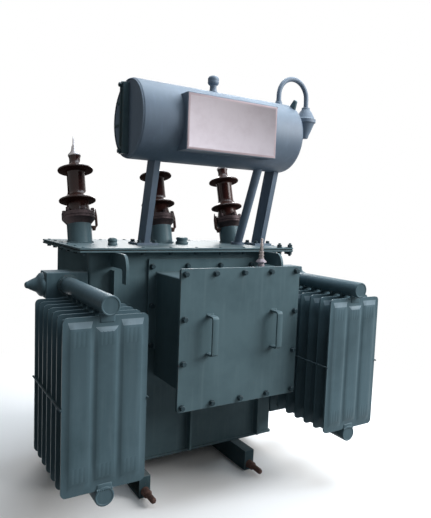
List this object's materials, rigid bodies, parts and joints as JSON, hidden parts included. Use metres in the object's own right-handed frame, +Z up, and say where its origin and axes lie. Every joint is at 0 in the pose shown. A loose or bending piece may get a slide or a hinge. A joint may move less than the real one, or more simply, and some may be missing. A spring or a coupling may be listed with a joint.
{
  "type": "oil-filled distribution transformer",
  "caption": "Oil-filled distribution transformer on skids: ribbed tank, front side radiators, bolted cable box, brown high-voltage bushings and a conservator drum above.",
  "frame": {"origin": "on the floor, under the middle of the part's bounding box", "axes": "+X along the tank to the right as seen from the cable box side, -Y out of the cable box cover, +Z up"},
  "size_m": [1.146, 0.886, 1.5145],
  "materials": {
    "tank_enamel": "glossy grey-green enamel, scuffed and dusty",
    "radiator_enamel": "glossy grey-green enamel, scuffed and dusty",
    "base_enamel": "dark grey-green enamel, dirty",
    "cork_gasket": "matt black rubberised cork",
    "brown_porcelain": "glossy brown glaze",
    "grey_porcelain": "glossy pale grey glaze",
    "zinc_fittings": "dull zinc-plated steel",
    "terminal_alloy": "dull cast alloy",
    "rusty_steel": "rough brown rust",
    "white_enamel": "satin white enamel, bare of lettering",
    "gauge_plate": "satin grey-green enamel"
  },
  "bodies": {
    "root": {"tank_body": "tank_enamel", "tank_rim_flange": "tank_enamel", "top_cover": "tank_enamel", "front_stiffeners": "tank_enamel", "rear_stiffeners": "tank_enamel", "lifting_hooks": "tank_enamel", "cable_box_flange": "tank_enamel", "cable_box_body": "tank_enamel", "cable_box_cover": "tank_enamel", "cable_box_handle_left": "tank_enamel", "cable_box_handle_right": "tank_enamel", "bushing_turrets": "tank_enamel", "thermometer_pocket": "tank_enamel", "inspection_cap": "tank_enamel", "conservator_drum": "tank_enamel", "conservator_end_left": "tank_enamel", "conservator_end_right": "tank_enamel", "drum_lugs": "tank_enamel", "oil_filler": "tank_enamel", "breather_pipe": "tank_enamel", "breather_pot": "tank_enamel", "conservator_leg_left": "tank_enamel", "conservator_leg_right": "tank_enamel", "oil_pipe": "tank_enamel", "header_boxes_left": "radiator_enamel", "header_boxes_right": "radiator_enamel", "header_pipes_left": "radiator_enamel", "header_pipes_right": "radiator_enamel", "radiator_fins_left": "radiator_enamel", "radiator_fins_right": "radiator_enamel", "header_cones": "radiator_enamel", "radiator_tie_bars": "radiator_enamel", "base_skid_left": "base_enamel", "base_skid_right": "base_enamel", "cover_gasket": "cork_gasket", "bushing_porcelain_left": "brown_porcelain", "bushing_porcelain_middle": "brown_porcelain", "bushing_porcelain_right": "brown_porcelain", "neutral_porcelain": "grey_porcelain", "bushing_clamp_rings": "zinc_fittings", "neutral_terminal": "zinc_fittings", "bushing_terminals": "terminal_alloy", "haul_pins": "rusty_steel", "arcing_horns": "rusty_steel", "sign_board": "white_enamel", "oil_level_gauge": "gauge_plate"}
  },
  "joints": []
}
